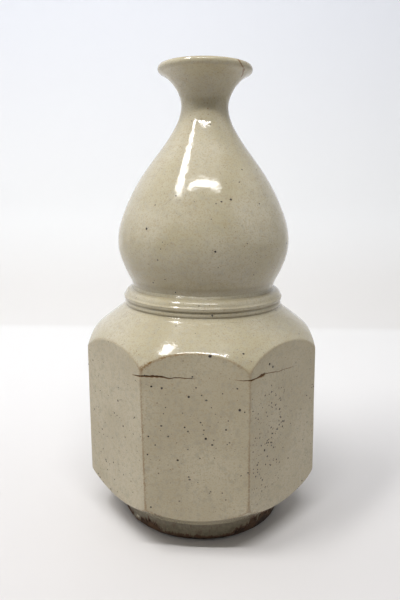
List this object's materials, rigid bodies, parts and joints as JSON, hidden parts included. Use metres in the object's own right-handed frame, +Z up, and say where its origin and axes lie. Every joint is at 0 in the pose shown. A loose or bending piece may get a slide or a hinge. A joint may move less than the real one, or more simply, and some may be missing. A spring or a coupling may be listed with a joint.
{
  "type": "sake bottle",
  "caption": "Gourd-shaped stoneware sake bottle with a faceted lower body, domed shoulder, ringed waist, pear-shaped upper bulb and small flared mouth.",
  "frame": {"origin": "centre of the foot ring, on the surface that the bottle stands on", "axes": "+Z up along the bottle's axis, towards the mouth; -Y towards the front facet; +X to the right when seen from the front"},
  "size_m": [0.1223, 0.1192, 0.2387],
  "materials": {
    "bare_foot_clay": "rough unglazed stoneware, toasted brown",
    "body_clay": "rough fired stoneware, sealed under the glaze",
    "outside_glaze": "glossy warm grey-beige glaze with fine dark specks",
    "inside_glaze": "thin glossy warm grey-beige glaze"
  },
  "bodies": {
    "root": {"foot_ring": "bare_foot_clay", "base_disc": "bare_foot_clay", "faceted_wall": "body_clay", "shoulder_dome": "body_clay", "waist_ring": "body_clay", "upper_bulb": "body_clay", "flared_neck": "body_clay", "outer_glaze": "outside_glaze", "inner_glaze": "inside_glaze"}
  },
  "joints": []
}
